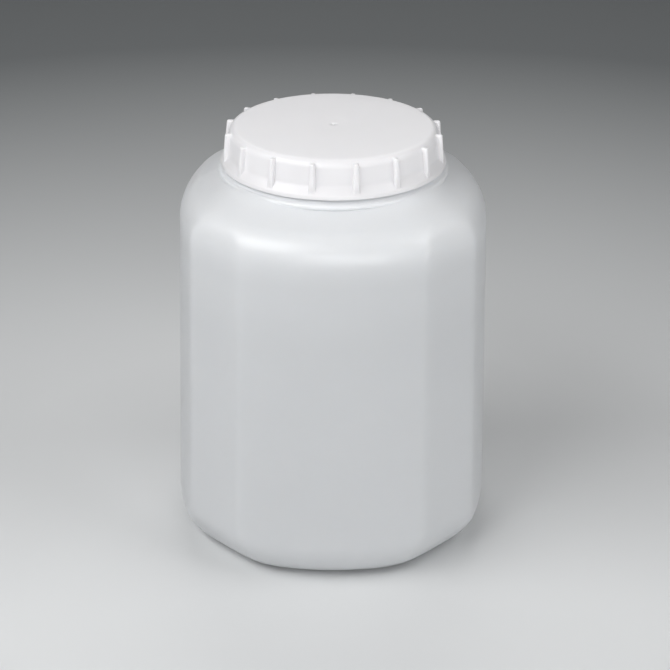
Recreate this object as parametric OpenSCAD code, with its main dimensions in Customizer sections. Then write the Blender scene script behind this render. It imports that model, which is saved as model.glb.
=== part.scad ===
// Wide-mouth reagent bottle: a blow-moulded body of bowed square plan with flattened corners,
// a ribbed screw cap and the sealing disc that lies loose inside the cap.
// Millimetres, +Z up. The origin is the middle of the base, at the level it stands on.

/* [Whole bottle] */
// Height of the closed bottle, from the base to the top of the cap
overall_h = 187; // [176:0.1:210]

/* [Body] */
// Width of the body from wide face to wide face
body_w = 143.4; // [138:0.2:150]
// Width of the body from corner face to corner face
corner_w = 149.4; // [147:0.2:155]
// Radius of the outward bow of each wide face
face_bow_r = 118; // [100:1:180]
// Thickness of the body wall
body_wall = 2; // [1.4:0.1:2.6]
// Radius of the rounded foot under the wide faces
foot_r = 18; // [12:1:20]
// Radius of the rounded foot under the corner faces
corner_foot_r = 21; // [21:1:24]
// Radius where the upright faces turn in to the shoulder
shoulder_r = 16.4; // [10:0.2:18]
// Slope of the shoulder above that radius, in degrees
shoulder_slope = 28.8; // [18:0.2:34]
// How much higher the slope of a corner face meets the collar than the slope of a wide face
corner_lift = 2.9; // [0:0.1:3.4]
// Radius of the raised panel in the base
base_panel_r = 46; // [35:1:47]
// Height by which the base panel is raised
base_rise = 3; // [1:0.5:6]

/* [Neck] */
// Outer radius of the neck, at the root of its thread
neck_r = 45; // [44.4:0.1:45.2]
// Thickness of the neck wall
neck_wall = 2.2; // [1.8:0.1:3]
// Outer radius of the collar below the cap
collar_r = 53.8; // [52.8:0.1:56]
// Height of the collar
collar_h = 2.6; // [2.5:0.1:3.4]
// Gap between the collar and the closed cap
collar_gap = 2; // [0.8:0.1:2.4]

/* [Thread] */
// Rise of the thread in one turn
thread_pitch = 5; // [4.6:0.1:5.4]
// Turns of thread on the neck
neck_turns = 1.5; // [1:0.1:1.6]
// Turns of thread in the cap
cap_turns = 1.6; // [1:0.1:1.7]
// Height of each thread ridge above its wall
ridge_h = 1.6; // [1.3:0.1:1.8]

/* [Cap] */
// Height of the cap
cap_h = 17.1; // [16.2:0.1:17.7]
// Outer radius of the cap's wall at its top
cap_wall_r = 49.2; // [48.9:0.1:49.6]
// Outer radius of the cap's bottom rim
cap_rim_r = 52.8; // [52.5:0.1:53.5]
// Inner radius of the cap
cap_bore_r = 47.3; // [47:0.1:47.5]
// Thickness of the cap's top
cap_top_t = 2.4; // [2:0.1:2.8]
// Number of grip ribs
rib_count = 16; // [8:1:24]
// Width of a grip rib
rib_w = 2.8; // [1.6:0.2:4]
// Outer radius of the ribs at the top of the cap
rib_r = 51.3; // [50.7:0.1:51.6]

/* [Sealing disc] */
// Thickness of the sealing disc
disc_t = 1.5; // [1:0.1:1.8]

/* [Hidden] */
$fn = 96;

// Small distances that keep neighbours apart, or sink one shape into the next
clear = 0.05;
bite = 0.5;
sink = 0.02;

// Levels from the top down
cap_rim_z = overall_h - cap_h;
ceiling_z = overall_h - cap_top_t;
disc_z = ceiling_z - clear - disc_t;
neck_top_z = disc_z - clear;
collar_top_z = cap_rim_z - collar_gap;
collar_z = collar_top_z - collar_h;
collar_root_h = 0.4;
shoulder_top_z = collar_z - collar_root_h;
shoulder_cut_z = collar_top_z - 0.6;

// How far the foot's rounding is cut off level by the base
base_trim = 0.4;

// Neck and collar
neck_lip_r = 0.8;
collar_edge_r = 1.2;
collar_bore_r = collar_r - 2.6;
collar_shelf_rise = 1.3;
collar_floor_t = 2.4;

// Thread: the neck's ridge and the cap's ridge share one helix, half a pitch apart
ridge_root_w = 3;
ridge_crest_w = 1.2;
ridge_fade = 40;
ridge_step = 6;
neck_thread_z = cap_rim_z + 1.4;
cap_thread_lead = 150;
cap_thread_z = neck_thread_z + thread_pitch * (0.5 - cap_thread_lead / 360);

// Cap
cap_edge_r = 3.8;
cap_crown = 0.4;
cap_flat_r = 12;
band_h = 1.6;
band_draft = 0.3;
band_slope_h = 3.9;
wall_draft = 0.6;
rib_draft = 0.7;
rib_edge_r = 0.8;
rib_drop = 1.6;
rib_foot_h = 1;
rib_turn = 0.44;
rib_angle = rib_w / rib_r * 180 / PI;
gate_dish_r = 8.4;
gate_dish_depth = 0.2;
gate_mark_r = 0.6;

// Sealing disc
disc_r = cap_bore_r - 0.6;
disc_edge = 0.3;

// A quarter of a disc of radius r, above the axis or below it
module quarter_disc(r, above) {
    intersection() {
        circle(r);
        translate([0, above ? 0 : -2 * r]) square(2 * r);
    }
}

// A bar from the axis out to r, of height h, with both outer corners rounded to edge_r
module rounded_bar(r, h, edge_r) {
    square([r - edge_r, h]);
    translate([0, edge_r]) square([r, h - 2 * edge_r]);
    translate([r - edge_r, edge_r]) quarter_disc(edge_r, false);
    translate([r - edge_r, h - edge_r]) quarter_disc(edge_r, true);
}

// One face's section, from an axis out to reach, inset by t from the outer surface.
// half_w is the distance of that face from the middle of the bottle, round_r is its foot's radius and
// slope_top_z is the level at which its slope would meet the collar.
module face_section(reach, half_w, round_r, slope_top_z, t) {
    run = half_w - collar_r;
    turned_in = shoulder_r * (1 - sin(shoulder_slope));
    arc_z = slope_top_z - shoulder_r * cos(shoulder_slope) - (run - turned_in) * tan(shoulder_slope);
    arc_r = reach - shoulder_r;
    slope_start_r = shoulder_r - t - sink;
    slope_end_r = reach - run - (shoulder_cut_z - slope_top_z) / tan(shoulder_slope);
    top_z = shoulder_cut_z - t / cos(shoulder_slope);
    foot_z = round_r - base_trim;
    difference() {
        union() {
            polygon([
                [0, t - base_trim],
                [reach - round_r, t - base_trim],
                [reach - round_r, foot_z],
                [reach - t, foot_z],
                [reach - t, arc_z],
                [arc_r, arc_z],
                [arc_r + slope_start_r * sin(shoulder_slope), arc_z + slope_start_r * cos(shoulder_slope)],
                [slope_end_r, top_z],
                [0, top_z]
            ]);
            translate([reach - round_r, foot_z]) quarter_disc(round_r - t, false);
            translate([arc_r, arc_z]) quarter_disc(shoulder_r - t, true);
        }
        translate([0, t - 2 * base_trim]) square([reach, 2 * base_trim]);
    }
}

// The space behind one bowed wide face, turned about an axis beyond the far side
module wide_face(t) {
    translate([body_w / 2 - face_bow_r, 0, 0])
        rotate_extrude()
            face_section(face_bow_r, body_w / 2, foot_r, shoulder_top_z, t);
}

// The space behind one flat corner face
module corner_face(t) {
    slope_top_z = shoulder_top_z + corner_lift;
    translate([-body_w, 0, 0])
        rotate([90, 0, 0])
            linear_extrude(2 * body_w, center = true)
                face_section(body_w + corner_w / 2, corner_w / 2, corner_foot_r, slope_top_z, t);
}

// The body up to a level inside the collar, inset by t from its outer surface
module body_form(t) {
    intersection() {
        intersection_for(turn = [0:90:270])
            rotate([0, 0, turn]) wide_face(t);
        intersection_for(turn = [45:90:315])
            rotate([0, 0, turn]) corner_face(t);
    }
}

// A raised panel in the base, widened by t
module base_panel(t) {
    rise = base_rise + t;
    cylinder(h = rise, r1 = base_panel_r + t, r2 = base_panel_r + t - base_rise);
}

// A helical ridge on the wall of radius wall_r, standing out (side = 1) or in (side = -1)
module thread_ridge(wall_r, start_z, start_angle, turns, side) {
    sweep = turns * 360;
    steps = ceil(sweep / ridge_step);
    function lift(a) = min(1, a / ridge_fade, (sweep - a) / ridge_fade);
    sections = [for (i = [0:steps])
        let (
            a = sweep * i / steps,
            z = start_z + thread_pitch * a / 360,
            root = wall_r - side * bite,
            crest = wall_r + side * (ridge_h * lift(a) - bite * (1 - lift(a)) * 0.6),
            dir = [cos(start_angle + a), sin(start_angle + a)]
        )
        [
            [dir.x * root, dir.y * root, z - ridge_root_w / 2],
            [dir.x * crest, dir.y * crest, z - ridge_crest_w / 2],
            [dir.x * crest, dir.y * crest, z + ridge_crest_w / 2],
            [dir.x * root, dir.y * root, z + ridge_root_w / 2]
        ]
    ];
    points = [for (section = sections, corner = section) corner];
    function quad(i, j) = [4 * i + j, 4 * i + (j + 1) % 4, 4 * i + 4 + (j + 1) % 4, 4 * i + 4 + j];
    function reversed(list) = [for (k = [len(list) - 1:-1:0]) list[k]];
    sides = [for (i = [0:steps - 1], j = [0:3]) quad(i, j)];
    ends = [[3, 2, 1, 0], [for (j = [0:3]) 4 * steps + j]];
    faces = concat(sides, ends);
    polyhedron(points, side > 0 ? faces : [for (face = faces) reversed(face)]);
}

// Blow-moulded body, collar and threaded neck in one piece
module bottle() {
    color([0.93, 0.94, 0.95])
        difference() {
            union() {
                difference() {
                    body_form(0);
                    translate([0, 0, -clear]) base_panel(0);
                }
                neck_outside();
                thread_ridge(neck_r, neck_thread_z, 0, neck_turns, 1);
            }
            difference() {
                body_form(body_wall);
                base_panel(body_wall);
            }
            neck_inside();
        }
}

// Neck with its rounded lip, the collar's rounded edge and the shelf that rises from it to the neck
module neck_outside() {
    shelf_z = collar_z + collar_edge_r;
    shelf_r = collar_r - collar_edge_r - 0.3;
    rotate_extrude() {
        translate([0, collar_z])
            rounded_bar(collar_r, collar_h, collar_edge_r);
        polygon([
            [0, shelf_z],
            [shelf_r, shelf_z],
            [shelf_r, collar_top_z],
            [shelf_r - 1.4, collar_top_z + collar_shelf_rise],
            [neck_r - 1, collar_top_z + collar_shelf_rise + 0.3],
            [0, collar_top_z + collar_shelf_rise + 0.3]
        ]);
        translate([0, collar_z + collar_edge_r])
            rounded_bar(neck_r, neck_top_z - collar_z - collar_edge_r, neck_lip_r);
    }
}

// Mouth and the wider hollow behind the collar
module neck_inside() {
    below = shoulder_r + body_wall;
    translate([0, 0, shoulder_top_z - below])
        cylinder(h = below + collar_top_z - collar_floor_t - shoulder_top_z, r = collar_bore_r);
    translate([0, 0, shoulder_top_z])
        cylinder(h = neck_top_z - shoulder_top_z + 1, r = neck_r - neck_wall);
}

// Cap with its top, grip ribs, bottom rim and internal thread in one piece
module screw_cap() {
    color([0.97, 0.97, 0.96])
        union() {
            difference() {
                union() {
                    cap_outside();
                    for (i = [0:rib_count - 1])
                        rotate([0, 0, (i + 0.5) * 360 / rib_count + rib_turn - rib_angle / 2])
                            grip_rib();
                }
                translate([0, 0, cap_rim_z - 1])
                    cylinder(h = ceiling_z - cap_rim_z + 1, r = cap_bore_r);
                translate([0, 0, overall_h - gate_dish_depth])
                    difference() {
                        cylinder(h = 1, r = gate_dish_r);
                        cylinder(h = gate_dish_depth, r = gate_mark_r);
                    }
            }
            thread_ridge(cap_bore_r, cap_thread_z, -cap_thread_lead, cap_turns, -1);
        }
}

// Solid outside form of the cap
module cap_outside() {
    edge_z = overall_h - cap_crown - cap_edge_r;
    band_z = cap_rim_z + band_h;
    rotate_extrude() {
        polygon([
            [0, cap_rim_z],
            [cap_rim_r, cap_rim_z],
            [cap_rim_r - band_draft, band_z],
            [cap_wall_r + wall_draft, band_z + band_slope_h],
            [cap_wall_r, edge_z],
            [cap_wall_r - cap_edge_r, edge_z],
            [cap_wall_r - cap_edge_r, overall_h - cap_crown],
            [cap_flat_r, overall_h],
            [0, overall_h]
        ]);
        translate([cap_wall_r - cap_edge_r, edge_z])
            quarter_disc(cap_edge_r, true);
    }
}

// One grip rib, from the bottom rim up to its rounded end just below the cap's crowned top
module grip_rib() {
    inner_r = cap_wall_r - cap_edge_r;
    top_z = overall_h - rib_drop;
    rotate_extrude(angle = rib_angle) {
        polygon([
            [inner_r, cap_rim_z + rib_foot_h],
            [rib_r + rib_draft, cap_rim_z + rib_foot_h],
            [rib_r, top_z - rib_edge_r],
            [rib_r - rib_edge_r, top_z - rib_edge_r],
            [rib_r - rib_edge_r, top_z],
            [inner_r, top_z]
        ]);
        translate([rib_r - rib_edge_r, top_z - rib_edge_r])
            quarter_disc(rib_edge_r, true);
    }
}

// Loose sealing disc with chamfered edges
module sealing_disc() {
    color([0.98, 0.98, 0.97])
        translate([0, 0, disc_z])
            rotate_extrude()
                polygon([
                    [0, 0],
                    [disc_r - disc_edge, 0],
                    [disc_r, disc_edge],
                    [disc_r, disc_t - disc_edge],
                    [disc_r - disc_edge, disc_t],
                    [0, disc_t]
                ]);
}

bottle();
screw_cap();
sealing_disc();
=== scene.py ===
"""Looks for the wide-mouth bottle: a blow-moulded body, a ribbed screw cap and the foam disc inside it.

Each piece is one closed mesh made of rings around the bottle's axis. Lengths are millimetres until a mesh is
made, then metres. Outer levels and reaches come from the CAD boxes, and the other sizes are the CAD's own.
"""

import math

import bpy
import numpy as np
from mathutils import Matrix, Vector


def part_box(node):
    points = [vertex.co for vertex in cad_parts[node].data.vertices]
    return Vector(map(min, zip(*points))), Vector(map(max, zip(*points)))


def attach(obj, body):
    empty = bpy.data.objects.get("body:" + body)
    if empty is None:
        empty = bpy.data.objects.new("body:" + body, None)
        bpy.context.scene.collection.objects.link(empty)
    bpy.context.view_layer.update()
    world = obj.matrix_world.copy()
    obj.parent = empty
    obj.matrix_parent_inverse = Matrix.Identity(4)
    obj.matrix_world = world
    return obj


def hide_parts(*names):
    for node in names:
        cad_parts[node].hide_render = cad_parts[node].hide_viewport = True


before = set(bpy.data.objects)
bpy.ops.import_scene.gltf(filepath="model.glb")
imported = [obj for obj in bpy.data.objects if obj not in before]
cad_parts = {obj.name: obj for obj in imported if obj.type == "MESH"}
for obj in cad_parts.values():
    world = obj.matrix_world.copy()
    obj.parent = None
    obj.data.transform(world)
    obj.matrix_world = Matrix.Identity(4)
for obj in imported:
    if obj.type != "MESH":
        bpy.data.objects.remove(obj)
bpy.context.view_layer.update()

MM = 0.001
TURN = 2 * math.pi


def box_mm(node):
    """The lowest and highest corners of a CAD node, in millimetres."""
    return [[c / MM for c in corner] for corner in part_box(node)]


BODY_HIGH = box_mm("bottle")[1]
CAP_LOW, CAP_HIGH = box_mm("screw_cap")
DISC_LOW, DISC_HIGH = box_mm("sealing_disc")

# Body. CORNER_LIFT is how much higher the slope of a corner face meets the collar than that of a wide face.
FACE_REACH = BODY_HIGH[0]
CORNER_REACH = FACE_REACH + 3.0
FACE_BOW_R = 118.0
WALL = 2.0
FACE_FOOT_R = 18.0
CORNER_FOOT_R = 21.0
BASE_TRIM = 0.4
SHOULDER_R = 16.4
SHOULDER_SLOPE = math.radians(28.8)
CORNER_LIFT = 2.9
PANEL_R = 46.0
PANEL_RISE = 3.0
PANEL_DOME = 0.8
PINCH_DEPTH = 0.45
SEAM_H = 0.09
WAVE_DEPTH = 0.05

# Neck and collar
LIP_Z = BODY_HIGH[2]
NECK_R = 45.0
BORE_R = 42.8
COLLAR_R = 53.8
COLLAR_H = 2.6
RIM_Z = CAP_LOW[2]
COLLAR_TOP_Z = RIM_Z - 2.0
COLLAR_Z = COLLAR_TOP_Z - COLLAR_H
SHOULDER_TOP_Z = COLLAR_Z - 0.4
BEAD_R = COLLAR_H / 2 - 0.05
BEAD_Z = COLLAR_Z + COLLAR_H / 2

# Thread, shared by neck and cap half a pitch apart
PITCH = 5.0
NECK_TURNS = 1.5
CAP_TURNS = 1.6
NECK_THREAD_Z = RIM_Z + 1.4
CAP_THREAD_START = math.radians(-150)
CAP_THREAD_Z = NECK_THREAD_Z + PITCH * (0.5 + CAP_THREAD_START / TURN)
RIDGE_H = 1.6
RIDGE_ROOT_W = 3.0
RIDGE_CREST_W = 1.2
RIDGE_FADE = 40 / 360

# Cap. CROWN is how far the top has sunk where its rolled edge begins.
TOP_Z = CAP_HIGH[2]
WALL_TOP_R = 49.2
WALL_FOOT_R = 49.8
CAP_RIM_R = CAP_HIGH[0]
CAP_BORE_R = 47.3
CEILING_Z = TOP_Z - 2.4
EDGE_R = 3.8
CROWN = 0.43
RIB_COUNT = 16
RIB_TURN = math.radians(0.44)
RIB_TOP_Z = TOP_Z - 1.6
RIB_R = 51.3
RIB_FOOT_R = 52.0
RIB_CORNER_R = 0.65
RIB_TOP_HALF_W = 1.12
RIB_FOOT_HALF_W = 1.45
FLARE_TOP_Z = RIM_Z + 5.7
BAND_TOP_Z = RIM_Z + 1.5


# ---------------------------------------------------------------- shape tools


def smoothstep(t):
    t = np.clip(t, 0.0, 1.0)
    return t * t * (3 - 2 * t)


def smooth_min(values, softness):
    """The least of several arrays, rounded where two of them are close."""
    stack = np.stack(np.broadcast_arrays(*values))
    least = stack.min(0)
    return least - softness * np.log(np.exp(-(stack - least) / softness).sum(0))


def arc(centre_r, centre_z, radius, start, end, count):
    """Points (r, z) on an arc, angles in degrees from the outward direction."""
    angles = np.radians(np.linspace(start, end, count))
    return [(centre_r + radius * math.cos(a), centre_z + radius * math.sin(a)) for a in angles]


def line(start, end, count):
    """Points (r, z) from start to end, without start."""
    return [
        (start[0] + (end[0] - start[0]) * i / count, start[1] + (end[1] - start[1]) * i / count)
        for i in range(1, count + 1)
    ]


def ring_mesh(name, rings, first_z, last_z):
    """A closed mesh through rings of equal length, each with rows x, y, z, and a middle point at each end."""
    points = np.array(rings, float)
    count, around = points.shape[:2]
    vertices = np.concatenate([points.reshape(-1, 3), [[0, 0, first_z], [0, 0, last_z]]]) * MM
    first, last = count * around, count * around + 1
    here = np.arange(around)
    after = (here + 1) % around
    steps = range(0, (count - 1) * around, around)
    quads = [np.stack([i + here, i + after, i + around + after, i + around + here], 1) for i in steps]
    last_ring = (count - 1) * around
    start_fan = np.stack([np.full(around, first), after, here], 1)
    end_fan = np.stack([np.full(around, last), last_ring + here, last_ring + after], 1)
    faces = np.concatenate(quads).tolist() + start_fan.tolist() + end_fan.tolist()
    mesh = bpy.data.meshes.new(name)
    mesh.from_pydata(vertices.tolist(), [], faces)
    mesh.validate()
    mesh.polygons.foreach_set("use_smooth", [True] * len(mesh.polygons))
    mesh.update()
    piece = bpy.data.objects.new(name, mesh)
    bpy.context.scene.collection.objects.link(piece)
    return piece


def ring(theta, radius, z):
    radius, z = np.broadcast_to(radius, theta.shape), np.broadcast_to(z, theta.shape)
    return np.stack([radius * np.cos(theta), radius * np.sin(theta), z], 1)


def thread(theta, z, start_angle, start_z, turns):
    """Height of a helical ridge on a round wall, at angle theta and level z. It rises anticlockwise."""
    flank = (RIDGE_ROOT_W - RIDGE_CREST_W) / 2
    height = np.zeros_like(theta)
    base_turn = ((theta - start_angle) % TURN) / TURN
    for lap in range(math.ceil(turns) + 1):
        along = base_turn + lap
        away = np.abs(z - start_z - PITCH * along)
        fade = smoothstep(np.minimum(along, turns - along) / RIDGE_FADE)
        height = np.maximum(height, fade * smoothstep((RIDGE_ROOT_W / 2 - away) / flank))
    return RIDGE_H * height


# ---------------------------------------------------------------- bottle


def face_inset(z, half_width, foot_r, slope_top_z, inside):
    """How far a face stands in from its full reach at level z.

    The outer surface has inside = 0, and the inner surface of a wall has its thickness there.
    """
    turned_in = SHOULDER_R * (1 - math.sin(SHOULDER_SLOPE))
    slope_rise = (half_width - COLLAR_R - turned_in) * math.tan(SHOULDER_SLOPE)
    arc_z = slope_top_z - (SHOULDER_R * math.cos(SHOULDER_SLOPE) + slope_rise)
    foot_z = foot_r - BASE_TRIM
    if z < foot_z:
        return foot_r - math.sqrt(max((foot_r - inside) ** 2 - (foot_z - z) ** 2, 0.0))
    if z <= arc_z:
        return inside
    up = z - arc_z
    radius = SHOULDER_R - inside
    if up < radius * math.cos(SHOULDER_SLOPE):
        return SHOULDER_R - math.sqrt(radius**2 - up**2)
    along = (up - radius * math.cos(SHOULDER_SLOPE)) / math.tan(SHOULDER_SLOPE)
    return SHOULDER_R - radius * math.sin(SHOULDER_SLOPE) + along


def body_radius(theta, z, inside):
    """Outline of the body at level z: four bowed wide faces and four flat corner faces.

    The creases between them are soft, and softer still at the foot and the shoulder.
    """
    wide = face_inset(z, FACE_REACH, FACE_FOOT_R, SHOULDER_TOP_Z, inside)
    corner = face_inset(z, CORNER_REACH, CORNER_FOOT_R, SHOULDER_TOP_Z + CORNER_LIFT, inside)
    back = FACE_REACH - FACE_BOW_R
    side_angle = 1.2
    out_of_play = 999.0
    outlines = []
    for i in range(4):
        from_wide = (theta - i * TURN / 4 + math.pi) % TURN - math.pi
        seen = np.clip(from_wide, -side_angle, side_angle)
        bow = back * np.cos(seen) + np.sqrt((FACE_BOW_R - wide) ** 2 - (back * np.sin(seen)) ** 2)
        outlines.append(np.where(np.abs(from_wide) < side_angle, bow, out_of_play))
        from_corner = (theta - (i + 0.5) * TURN / 4 + math.pi) % TURN - math.pi
        flat = (CORNER_REACH - corner) / np.maximum(np.cos(from_corner), 0.25)
        outlines.append(np.where(np.abs(from_corner) < side_angle, flat, out_of_play))
    softness = 0.5 + 1.3 * smoothstep((22 - z) / 20) + 1.2 * smoothstep((z - 153) / 12)
    return smooth_min(outlines, softness)


def wall_waves(theta, z):
    """The slow unevenness of a blown wall, always inward."""
    waves = (
        np.sin(2 * theta + 0.031 * z + 0.4)
        + 0.8 * np.sin(3 * theta - 0.047 * z + 2.1)
        + 0.6 * np.sin(5 * theta + 0.083 * z + 1.0)
        + 0.35 * np.sin(9 * theta - 0.12 * z + 0.3)
    )
    return WAVE_DEPTH * (waves / 2.75 + 1)


def seam(theta, radius):
    """The faint line where the two mould halves met, on the left and right faces."""
    away = np.abs(radius * np.sin(theta))
    return SEAM_H * smoothstep(1 - away / 0.55)


def bottle_angles():
    """Even angles round the bottle, with closer ones across the two seams."""
    even = np.arange(480) * TURN / 480
    close = np.radians([-0.55, -0.4, -0.28, -0.16, 0.16, 0.28, 0.4, 0.55])
    near_seams = np.concatenate([close, close + math.pi]) % TURN
    gap = 0.0008
    keep = [a for a in even if min(abs((a - s + math.pi) % TURN - math.pi) for s in near_seams) > gap]
    return np.sort(np.concatenate([keep, near_seams]))


def panel_z(r, inside):
    """Level of the raised base panel at radius r."""
    return PANEL_RISE + PANEL_DOME * (1 - (r / PANEL_R) ** 2) + inside


def bottle_rings(theta):
    """Rings from the middle of the base, up the outside, over the lip and down the inside to the base."""
    rings = []

    def add_round(points):
        for r, z in points:
            rings.append(ring(theta, r, z))

    # Raised base panel with its pinch-off line, then the level ring it stands on
    for r in (1.5, 4, 8, 13, 19, 25, 31, 36, 39.5, 41.6):
        across_line = smoothstep(1 - np.abs(r * np.sin(theta)) / 1.1)
        rings.append(ring(theta, r, panel_z(r, 0) - PINCH_DEPTH * across_line * smoothstep((40 - r) / 3)))
    add_round([(42.5, 3.05), (43.1, 2.7), (43.9, 1.9), (44.7, 1.1), (45.4, 0.45), (46.1, 0.1), (46.9, 0.0)])
    outline = body_radius(theta, 0.0, 0.0)
    for share in (0.25, 0.5, 0.75, 0.93):
        rings.append(ring(theta, 46.9 + (outline - 46.9) * share, 0.0))

    # Foot, upright faces, shoulder and bead, kept inside the CAD's square. The shoulder begins at turn_z.
    cad_square = FACE_REACH / np.maximum(np.abs(np.cos(theta)), np.abs(np.sin(theta)))
    foot = [CORNER_FOOT_R * (1 - math.cos(math.pi / 2 * i / 26)) for i in range(27)]
    turn_z, turn_h = 142.0, 18.0
    upright = np.linspace(CORNER_FOOT_R, turn_z, 44)[1:]
    shoulder = [turn_z + turn_h * math.sin(math.pi / 2 * i / 28) for i in range(1, 29)]
    slope = np.linspace(turn_z + turn_h, SHOULDER_TOP_Z + 0.2, 13)[1:]
    bead = [BEAD_Z + BEAD_R * math.sin(math.radians(a)) for a in np.linspace(-84, 84, 17)]
    for z in [*foot, *upright, *shoulder, *slope, *bead]:
        outer = body_radius(theta, z, 0.0)
        outer = outer - wall_waves(theta, z) * smoothstep(z / 25) * smoothstep((COLLAR_Z - z) / 18)
        outer = np.minimum(outer + seam(theta, outer) * smoothstep(z / 6), cad_square)
        if z > COLLAR_Z:
            bulge = COLLAR_R - BEAD_R + math.sqrt(BEAD_R**2 - (z - BEAD_Z) ** 2)
            outer = -smooth_min([-outer, -bulge], 0.2)
        rings.append(ring(theta, outer, z))

    # Shelf that rises from the bead to the neck
    shelf = [(52.45, 0.02), (52.2, 0.12), (51.9, 0.36), (51.5, 0.74), (51.15, 1.05)]
    shelf += [(50.8, 1.25), (50.3, 1.33), (49.3, 1.37), (47.5, 1.45)]
    shelf += [(46.2, 1.51), (45.6, 1.56), (45.25, 1.65), (45.08, 1.78)]
    add_round([(r, COLLAR_TOP_Z + rise) for r, rise in shelf])

    # Threaded neck, lip and bore
    for z in np.linspace(NECK_THREAD_Z - 1.6, NECK_THREAD_Z + NECK_TURNS * PITCH + 1.6, 52):
        rings.append(ring(theta, NECK_R + thread(theta, z, 0.0, NECK_THREAD_Z, NECK_TURNS), z))
    add_round([(NECK_R, LIP_Z - 1.2)])
    add_round(arc(NECK_R - 0.8, LIP_Z - 0.8, 0.8, 0, 90, 7))
    add_round(arc(BORE_R + 0.6, LIP_Z - 0.6, 0.6, 90, 180, 5))
    add_round([(BORE_R, LIP_Z - 2), (BORE_R, LIP_Z - 5), (BORE_R, LIP_Z - 9), (BORE_R, COLLAR_TOP_Z - 0.4)])
    add_round([(43.0, COLLAR_TOP_Z - 1.4), (43.7, COLLAR_TOP_Z - 2.0), (45.0, COLLAR_TOP_Z - 2.3)])
    add_round([(48.0, COLLAR_TOP_Z - 2.45), (50.2, COLLAR_TOP_Z - 2.8), (51.2, COLLAR_TOP_Z - 3.5)])
    add_round([(52.2, SHOULDER_TOP_Z - 1.3), (53.2, SHOULDER_TOP_Z - 2.0)])

    # Inner side of the shoulder, the upright walls, the foot and the raised panel
    turn_z, turn_h = 142.5, 15.0
    slope = np.linspace(SHOULDER_TOP_Z - 2.7, turn_z + turn_h, 7)
    shoulder = [turn_z + turn_h * math.sin(math.pi / 2 * i / 14) for i in range(13, -1, -1)]
    upright = np.linspace(turn_z, CORNER_FOOT_R, 20)[1:]
    foot_rise = CORNER_FOOT_R - WALL
    foot = [WALL + foot_rise * (1 - math.cos(math.pi / 2 * i / 16)) for i in range(15, -1, -1)]
    for z in [*slope, *shoulder, *upright, *foot]:
        rings.append(ring(theta, body_radius(theta, z, WALL), z))
    outline = body_radius(theta, WALL, WALL)
    for share in (0.7, 0.3):
        rings.append(ring(theta, 49.0 + (outline - 49.0) * share, WALL))
    panel_edge = [(48.6, 0.02), (47.6, 0.4), (46.4, 1.5), (45.4, 2.6), (44.2, 3.1)]
    add_round([(r, WALL + rise) for r, rise in panel_edge])
    for r in (42, 36, 28, 20, 12, 5):
        rings.append(ring(theta, r, panel_z(r, WALL)))
    return rings


# ---------------------------------------------------------------- cap


def cap_angles():
    """Angles round the cap, closer together across each rib, and how far each is from its rib's middle."""
    across = [0.0, 0.35, 0.65, 0.9, 1.05, 1.17, 1.26, 1.34, 1.42, 1.5, 1.62, 1.85, 2.3]
    offsets = np.array([-a for a in across[:0:-1]] + across) / RIB_R
    step = TURN / RIB_COUNT
    between = np.linspace(offsets[-1], step + offsets[0], 11)[1:-1]
    pattern = np.concatenate([offsets, between])
    middles = (np.arange(RIB_COUNT) + 0.5) * step + RIB_TURN
    theta = np.concatenate([m + pattern for m in middles])
    away = np.concatenate([np.abs(pattern)] * RIB_COUNT)
    away = np.minimum(away, step - away) * RIB_R
    return theta, away


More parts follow.
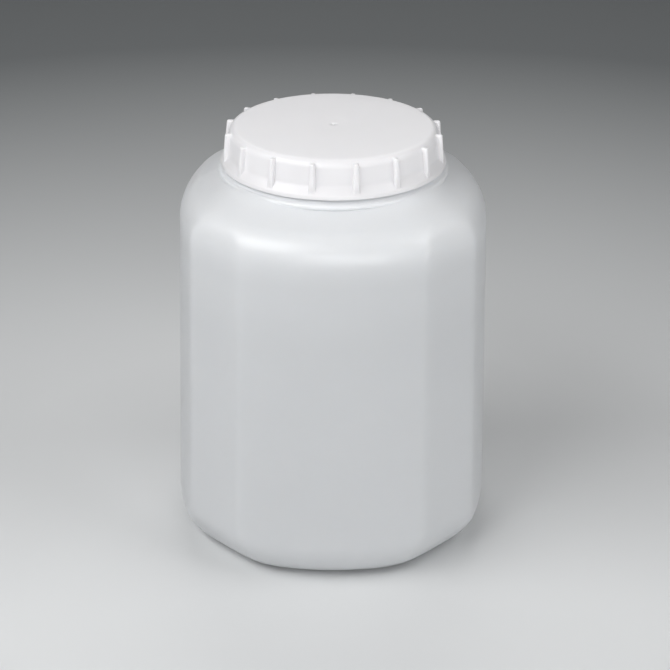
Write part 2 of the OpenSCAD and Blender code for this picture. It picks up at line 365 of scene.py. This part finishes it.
def cap_rings(theta, away):
    """Rings from the middle of the top, down the outside, round the rim and up the inside to the ceiling."""
    rings = []

    def add(base, rib=None, half_width=None):
        """A ring that follows base between the ribs and rib on them. Both are (r, z)."""
        if rib is None:
            rings.append(ring(theta, base[0], base[1]))
            return
        fill = np.clip(1 - (away / half_width) ** 6, 0, 1) ** 0.33
        radius = base[0] + (rib[0] - base[0]) * fill
        z = base[1] + (rib[1] - base[1]) * fill
        rings.append(ring(theta, radius, z))

    # Top: the gate mark in its shallow dish, then a very slight dome
    dish_z = TOP_Z - 0.05
    gate = [(0.3, TOP_Z), (0.45, TOP_Z - 0.03), (0.6, dish_z - 0.09), (0.75, dish_z - 0.09), (0.9, dish_z)]
    dish = [(3, dish_z), (6, dish_z), (7.4, dish_z), (8.2, dish_z + 0.02), (9.2, TOP_Z - 0.01), (10.0, TOP_Z)]
    for point in gate + dish:
        add(point)
    roll_r = WALL_TOP_R - EDGE_R
    for r in (13, 18, 24, 29, 33, 36.5, 39.5, 42, 44):
        add((r, TOP_Z - CROWN * (r / roll_r) ** 4))

    # Rolled edge. Part way down it the ribs come out and carry on level to their own rounded corner.
    edge_z = TOP_Z - CROWN - EDGE_R
    rib_start = math.degrees(math.asin((RIB_TOP_Z - edge_z) / EDGE_R))
    for point in arc(roll_r, edge_z, EDGE_R, 90, rib_start, 10):
        add(point)
    start_r = roll_r + EDGE_R * math.cos(math.radians(rib_start))
    rib_line = line((start_r, RIB_TOP_Z), (RIB_R - RIB_CORNER_R, RIB_TOP_Z), 5)
    rib_line += arc(RIB_R - RIB_CORNER_R, RIB_TOP_Z - RIB_CORNER_R, RIB_CORNER_R, 72, 0, 5)
    for base, rib in zip(arc(roll_r, edge_z, EDGE_R, rib_start - 4, 0, 10), rib_line):
        add(base, rib, RIB_TOP_HALF_W)

    # Wall between the ribs, then the flare out to the rim band
    wall = line((WALL_TOP_R, edge_z), (WALL_FOOT_R - 0.05, FLARE_TOP_Z + 0.2), 9)
    face = line((RIB_R, RIB_TOP_Z - RIB_CORNER_R), (RIB_FOOT_R - 0.05, FLARE_TOP_Z + 0.2), 9)
    for i, (base, rib) in enumerate(zip(wall, face)):
        add(base, rib, RIB_TOP_HALF_W + 0.03 * (i + 1))
    flare_reach, flare_drop = 2.75, FLARE_TOP_Z - BAND_TOP_Z
    flare = [(0.02, 0.06), (0.09, 0.16), (0.2, 0.28), (0.35, 0.42), (0.52, 0.57), (0.7, 0.72), (0.86, 0.86)]
    for out, down in flare:
        r, z = WALL_FOOT_R + flare_reach * out, FLARE_TOP_Z - flare_drop * down
        add((r, z), (max(r, RIB_FOOT_R), z), RIB_FOOT_HALF_W)
    band_r = WALL_FOOT_R + flare_reach
    band = [(band_r - 0.15, BAND_TOP_Z + 0.35), (band_r, BAND_TOP_Z), (52.62, BAND_TOP_Z - 0.35)]
    band += [(52.7, RIM_Z + 0.75), (CAP_RIM_R, RIM_Z + 0.22), (CAP_RIM_R - 0.05, RIM_Z + 0.09)]
    band += [(CAP_RIM_R - 0.16, RIM_Z + 0.01)]
    for point in band:
        add(point)

    # Underside of the rim, the threaded bore and the ceiling
    underside = [(51.9, RIM_Z), (50.4, RIM_Z), (48.9, RIM_Z), (48.3, RIM_Z + 0.08), (47.8, RIM_Z + 0.35)]
    for point in underside:
        add(point)
    for z in np.linspace(RIM_Z + 0.75, CAP_THREAD_Z + CAP_TURNS * PITCH + 1.6, 56):
        height = thread(theta, z, CAP_THREAD_START, CAP_THREAD_Z, CAP_TURNS)
        rings.append(ring(theta, CAP_BORE_R - height, z))
    add((CAP_BORE_R, CEILING_Z - 0.9))
    add((CAP_BORE_R, CEILING_Z - 0.2))
    for r in (CAP_BORE_R - 0.2, 44, 36, 26, 15, 6):
        add((r, CEILING_Z))
    return rings


# ---------------------------------------------------------------- disc


def disc_rings(theta):
    """A foam disc with soft edges and the ring the lip has pressed into its underside."""
    low, high = DISC_LOW[2], DISC_HIGH[2]
    edge_r = DISC_HIGH[0]
    points = [(8, low), (20, low), (32, low), (40, low), (42.2, low), (42.6, low + 0.06), (43.0, low + 0.16)]
    points += [(43.8, low + 0.2), (44.6, low + 0.16), (45.0, low + 0.06), (45.4, low), (46.0, low)]
    points += arc(edge_r - 0.35, low + 0.35, 0.35, -90, 0, 6)
    points += arc(edge_r - 0.35, high - 0.35, 0.35, 0, 90, 6)
    points += [(45, high), (38, high), (26, high), (12, high)]
    return [ring(theta, r, z) for r, z in points]


# ---------------------------------------------------------------- materials


# Colour sockets of a mix node: the two colours that go in, and the one that comes out
FIRST_COLOUR, SECOND_COLOUR, MIXED_COLOUR = 6, 7, 2


class Graph:
    """A small helper to wire a material's nodes. Textures are placed in metres."""

    def __init__(self, name):
        self.material = bpy.data.materials.new(name)
        self.material.use_nodes = True
        self.tree = self.material.node_tree
        self.tree.nodes.clear()
        output = self.node("ShaderNodeOutputMaterial")
        self.shader = self.node("ShaderNodeBsdfPrincipled")
        self.link(self.shader, "BSDF", output, "Surface")
        self.place = self.node("ShaderNodeTexCoord")

    def node(self, kind, **values):
        made = self.tree.nodes.new(kind)
        for key, value in values.items():
            setattr(made, key, value)
        return made

    def link(self, source, out, target, into):
        self.tree.links.new(source.outputs[out], target.inputs[into])

    def set(self, **values):
        """Fixed values of the shader's inputs, with _ for a space in an input's name."""
        for key, value in values.items():
            self.shader.inputs[key.replace("_", " ")].default_value = value

    def noise(self, scale, detail=3.0, roughness=0.5, stretch=None):
        made = self.node("ShaderNodeTexNoise")
        made.inputs["Scale"].default_value = scale
        made.inputs["Detail"].default_value = detail
        made.inputs["Roughness"].default_value = roughness
        if stretch is None:
            self.link(self.place, "Object", made, "Vector")
        else:
            mapping = self.node("ShaderNodeMapping")
            mapping.inputs["Scale"].default_value = stretch
            self.link(self.place, "Object", mapping, "Vector")
            self.link(mapping, "Vector", made, "Vector")
        return made

    def spread(self, source, out, low, high, from_low=0.3, from_high=0.7):
        """The output's from_low to from_high spread over low to high, and held at both ends."""
        made = self.node("ShaderNodeMapRange")
        made.inputs["From Min"].default_value = from_low
        made.inputs["From Max"].default_value = from_high
        made.inputs["To Min"].default_value = low
        made.inputs["To Max"].default_value = high
        self.link(source, out, made, "Value")
        return made

    def mix(self, share, out, first, second):
        """Colour from first to second by the given output."""
        made = self.node("ShaderNodeMix", data_type="RGBA")
        made.inputs[FIRST_COLOUR].default_value = (*first, 1)
        made.inputs[SECOND_COLOUR].default_value = (*second, 1)
        self.link(share, out, made, 0)
        return made

    def ramp_by_height(self, stops):
        """Grey that runs through the given (level in mm, value) pairs."""
        axes = self.node("ShaderNodeSeparateXYZ")
        self.link(self.place, "Object", axes, "Vector")
        share = self.spread(axes, "Z", 0, 1, 0, stops[-1][0] * MM)
        made = self.node("ShaderNodeValToRGB")
        made.color_ramp.interpolation = "EASE"
        places = made.color_ramp.elements
        while len(places) < len(stops):
            places.new(1)
        for place, (level, value) in zip(places, stops):
            place.position = level / stops[-1][0]
            place.color = (value, value, value, 1)
        self.link(share, "Result", made, "Fac")
        return made

    def bump(self, source, out, strength, distance, below=None):
        made = self.node("ShaderNodeBump")
        made.inputs["Strength"].default_value = strength
        made.inputs["Distance"].default_value = distance
        self.link(source, out, made, "Height")
        if below is not None:
            self.link(below, "Normal", made, "Normal")
        return made


def moulded_plastic(name, tint, shade, roughness, scatter, scatter_mm, grain, specks, painted_shade_levels):
    """Milky polyethylene: light scatters in it, the surface has a satin grain, and a few specks lie in it.

    The last argument lists (level in mm, brightness): painted shade, the colour darker lower down where less
    light falls.
    """
    g = Graph(name)
    cloud = g.noise(14, 4, 0.55)
    colour = g.mix(g.spread(cloud, "Fac", 0, 1), "Result", shade, tint)

    # Specks: small spots in about a tenth of the cells
    fleck = g.node("ShaderNodeTexVoronoi")
    fleck.inputs["Scale"].default_value = 75
    g.link(g.place, "Object", fleck, "Vector")
    near = g.spread(fleck, "Distance", 1, 0, 0.018, 0.03)
    chosen = g.node("ShaderNodeSeparateColor")
    g.link(fleck, "Color", chosen, "Color")
    rare = g.spread(chosen, "Red", 0, specks, 0.9, 0.92)
    both = g.node("ShaderNodeMath", operation="MULTIPLY")
    g.link(near, "Result", both, 0)
    g.link(rare, "Result", both, 1)
    dotted = g.node("ShaderNodeMix", data_type="RGBA")
    dotted.inputs[SECOND_COLOUR].default_value = (0.42, 0.42, 0.40, 1)
    g.link(colour, MIXED_COLOUR, dotted, FIRST_COLOUR)
    g.link(both, "Value", dotted, 0)

    # Painted shade: the colour multiplied by a grey that darkens lower down, standing in for less light there
    painted_shade_mix = g.node("ShaderNodeMix", data_type="RGBA", blend_type="MULTIPLY")
    painted_shade_mix.inputs[0].default_value = 1
    g.link(dotted, MIXED_COLOUR, painted_shade_mix, FIRST_COLOUR)
    g.link(g.ramp_by_height(painted_shade_levels), "Color", painted_shade_mix, SECOND_COLOUR)
    g.link(painted_shade_mix, MIXED_COLOUR, g.shader, "Base Color")

    # Satin surface: patches of gloss, a slow ripple and a fine grain
    patches = g.noise(32, 5, 0.6)
    g.link(g.spread(patches, "Fac", roughness - 0.035, roughness + 0.045), "Result", g.shader, "Roughness")
    g.set(IOR=1.51)
    g.set(Subsurface_Weight=scatter, Subsurface_Radius=(1.0, 0.97, 0.93), Subsurface_Scale=scatter_mm * MM)

    fine = g.noise(1500, 3, 0.6)
    ripple = g.noise(95, 2, 0.5, stretch=(1, 1, 0.45))
    lower = g.bump(ripple, "Fac", 0.35, 0.00006)
    upper = g.bump(fine, "Fac", grain, 0.00004, below=lower)
    g.link(upper, "Normal", g.shader, "Normal")
    return g.material


def foam_material(name):
    """Closed-cell foam: matt, off-white, with fine cells and a faint skin."""
    g = Graph(name)
    cells = g.node("ShaderNodeTexVoronoi")
    cells.inputs["Scale"].default_value = 1300
    g.link(g.place, "Object", cells, "Vector")
    cloud = g.noise(60, 4, 0.6)
    colour = g.mix(g.spread(cloud, "Fac", 0, 1), "Result", (0.80, 0.80, 0.78), (0.88, 0.88, 0.86))
    g.link(colour, MIXED_COLOUR, g.shader, "Base Color")
    g.link(g.spread(cells, "Distance", 0.62, 0.8, 0.1, 0.6), "Result", g.shader, "Roughness")
    g.set(Subsurface_Weight=0.2, Subsurface_Radius=(1.0, 0.98, 0.95), Subsurface_Scale=0.002)
    g.link(g.bump(cells, "Distance", 0.6, 0.00012), "Normal", g.shader, "Normal")
    return g.material


def floor_material(name):
    """Satin paint with a painted pool of light: pale round the bottle and darker with distance."""
    g = Graph(name)
    away = g.node("ShaderNodeVectorMath", operation="LENGTH")
    g.link(g.place, "Object", away, 0)
    # painted light: a pale pool round the bottle that fades to dark further away, lightening the shade round
    # its foot
    far = g.spread(away, "Value", 0, 1, 0.18, 0.75)
    colour = g.mix(far, "Result", (0.69, 0.70, 0.705), (0.21, 0.22, 0.225))
    g.link(colour, MIXED_COLOUR, g.shader, "Base Color")
    g.set(Roughness=0.42, IOR=1.35)
    return g.material


# ---------------------------------------------------------------- stage


def studio_floor(material):
    """A floor that turns up into a wall all round, so that every view has the same plain background."""
    theta = np.arange(128) * TURN / 128
    points = [(300, 0), (700, 0), (1100, 0), (1500, 0)]
    points += arc(1700, 900, 900, -90, 0, 16) + [(2600, 1700), (2600, 2400)]
    rings = np.array([ring(theta, r, z) for r, z in points])
    count, around = rings.shape[:2]
    middle = count * around
    vertices = np.concatenate([rings.reshape(-1, 3), [[0, 0, 0]]]) * MM
    faces = [(middle, j, (j + 1) % around) for j in range(around)]
    for i in range(0, middle - around, around):
        for j in range(around):
            k = (j + 1) % around
            faces.append((i + j, i + around + j, i + around + k, i + k))
    mesh = bpy.data.meshes.new("studio_floor")
    mesh.from_pydata(vertices.tolist(), [], faces)
    mesh.polygons.foreach_set("use_smooth", [True] * len(mesh.polygons))
    mesh.materials.append(material)
    floor = bpy.data.objects.new("studio_floor", mesh)
    bpy.context.scene.collection.objects.link(floor)


def softbox(name, azimuth, elevation, distance, width, height, power):
    """A rectangular light aimed at the bottle. Azimuth 0 is the camera's side, and positive is right."""
    a, e = math.radians(azimuth), math.radians(elevation)
    target = Vector((0, 0, 0.11))
    away = Vector((math.sin(a) * math.cos(e), -math.cos(a) * math.cos(e), math.sin(e)))
    data = bpy.data.lights.new(name, "AREA")
    data.shape = "RECTANGLE"
    data.size, data.size_y = width, height
    data.energy = power
    light = bpy.data.objects.new(name, data)
    light.location = target + away * distance
    light.rotation_mode = "QUATERNION"
    light.rotation_quaternion = away.to_track_quat("Z", "Y")
    light.visible_camera = False
    bpy.context.scene.collection.objects.link(light)


def world_light(colour, strength):
    world = bpy.data.worlds.new("studio")
    world.use_nodes = True
    background = world.node_tree.nodes["Background"]
    background.inputs["Color"].default_value = (*colour, 1)
    background.inputs["Strength"].default_value = strength
    bpy.context.scene.world = world


def shift_at_home(camera, attribute, amount):
    """Lens shift that holds only while the camera is at its own place, so that other views are centred."""
    driver = camera.data.driver_add(attribute).driver
    driver.type = "SCRIPTED"
    for name, axis in (("y", "LOC_Y"), ("z", "LOC_Z")):
        variable = driver.variables.new()
        variable.name = name
        variable.type = "TRANSFORMS"
        variable.targets[0].id = camera
        variable.targets[0].transform_type = axis
        variable.targets[0].transform_space = "WORLD_SPACE"
    home = f"abs(y - {camera.location.y:.5f}) + abs(z - {camera.location.z:.5f}) < 0.001"
    driver.expression = f"{amount:.5f} if {home} else 0"


def product_camera():
    """A camera above and in front, its lens shifted down to keep the upright edges nearly upright."""
    data = bpy.data.cameras.new("camera")
    data.sensor_width = 36
    data.lens = 107.64
    data.clip_start, data.clip_end = 0.01, 20
    camera = bpy.data.objects.new("camera", data)
    bpy.context.scene.collection.objects.link(camera)
    tilt, roll = 0.11999, 0.00668
    turned = Matrix.Rotation(math.pi / 2 - tilt, 4, "X") @ Matrix.Rotation(roll, 4, "Z")
    camera.matrix_world = Matrix.Translation((0, -0.90611, 0.4985)) @ turned
    bpy.context.scene.camera = camera
    shift_at_home(camera, "shift_x", -0.0023)
    shift_at_home(camera, "shift_y", -0.9559)


# ---------------------------------------------------------------- build

body_plastic = moulded_plastic(
    "bottle_plastic",
    tint=(0.825, 0.84, 0.86),
    shade=(0.80, 0.815, 0.835),
    roughness=0.315,
    scatter=0.75,
    scatter_mm=6,
    grain=0.25,
    specks=0.5,
    # painted shade: the body's colour about a quarter darker below mid-height than at the shoulder, for light
    # that falls off lower down
    painted_shade_levels=((0, 0.74), (25, 0.735), (105, 0.755), (135, 0.80), (158, 1), (187, 1)),
)
cap_plastic = moulded_plastic(
    "cap_plastic",
    tint=(0.845, 0.837, 0.852),
    shade=(0.825, 0.817, 0.832),
    roughness=0.40,
    scatter=0.45,
    scatter_mm=1.5,
    grain=0.2,
    specks=0.35,
    # painted shade: the flare and rim band a little darker than the rest of the cap, to hold down the light
    # they catch
    painted_shade_levels=((0, 0.95), (RIM_Z + 3.5, 0.95), (RIM_Z + 8, 1), (187, 1)),
)
foam = foam_material("disc_foam")

angles = bottle_angles()
bottle = ring_mesh("bottle_body", bottle_rings(angles), panel_z(0, 0) - PINCH_DEPTH, panel_z(0, WALL))
angles, from_rib = cap_angles()
cap = ring_mesh("ribbed_screw_cap", cap_rings(angles, from_rib), TOP_Z, CEILING_Z)
angles = np.arange(288) * TURN / 288
disc = ring_mesh("foam_sealing_disc", disc_rings(angles), DISC_LOW[2], DISC_HIGH[2])

for piece, node, body, material, slot in (
    (bottle, "bottle", "bottle", body_plastic, "bottle_plastic"),
    (cap, "screw_cap", "cap", cap_plastic, "cap_plastic"),
    (disc, "sealing_disc", "disc", foam, "disc_foam"),
):
    piece.data.materials.append(material)
    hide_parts(node)
    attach(piece, body)

# Lights: azimuth and elevation in degrees, distance, width and height in metres, power in watts
studio_floor(floor_material("floor_with_painted_light_pool"))
softbox("left", -54, 42, 1.2, 1.3, 0.55, 12.2)
softbox("right", 72, 42, 1.2, 0.8, 0.55, 4.5)
softbox("behind", 180, 45, 1.4, 0.9, 0.9, 4.7)
softbox("low_front", 8, 12, 1.2, 0.8, 0.55, 4.7)
softbox("low_right", 64, 3, 1.2, 0.7, 0.2, 1.8)
softbox("window", -31, 45, 1.0, 0.26, 0.14, 0.25)
world_light((0.86, 0.9, 0.93), 0.02)
product_camera()

scene = bpy.context.scene
scene.view_settings.view_transform = "Standard"
scene.view_settings.look = "None"
scene.view_settings.exposure = 0.0
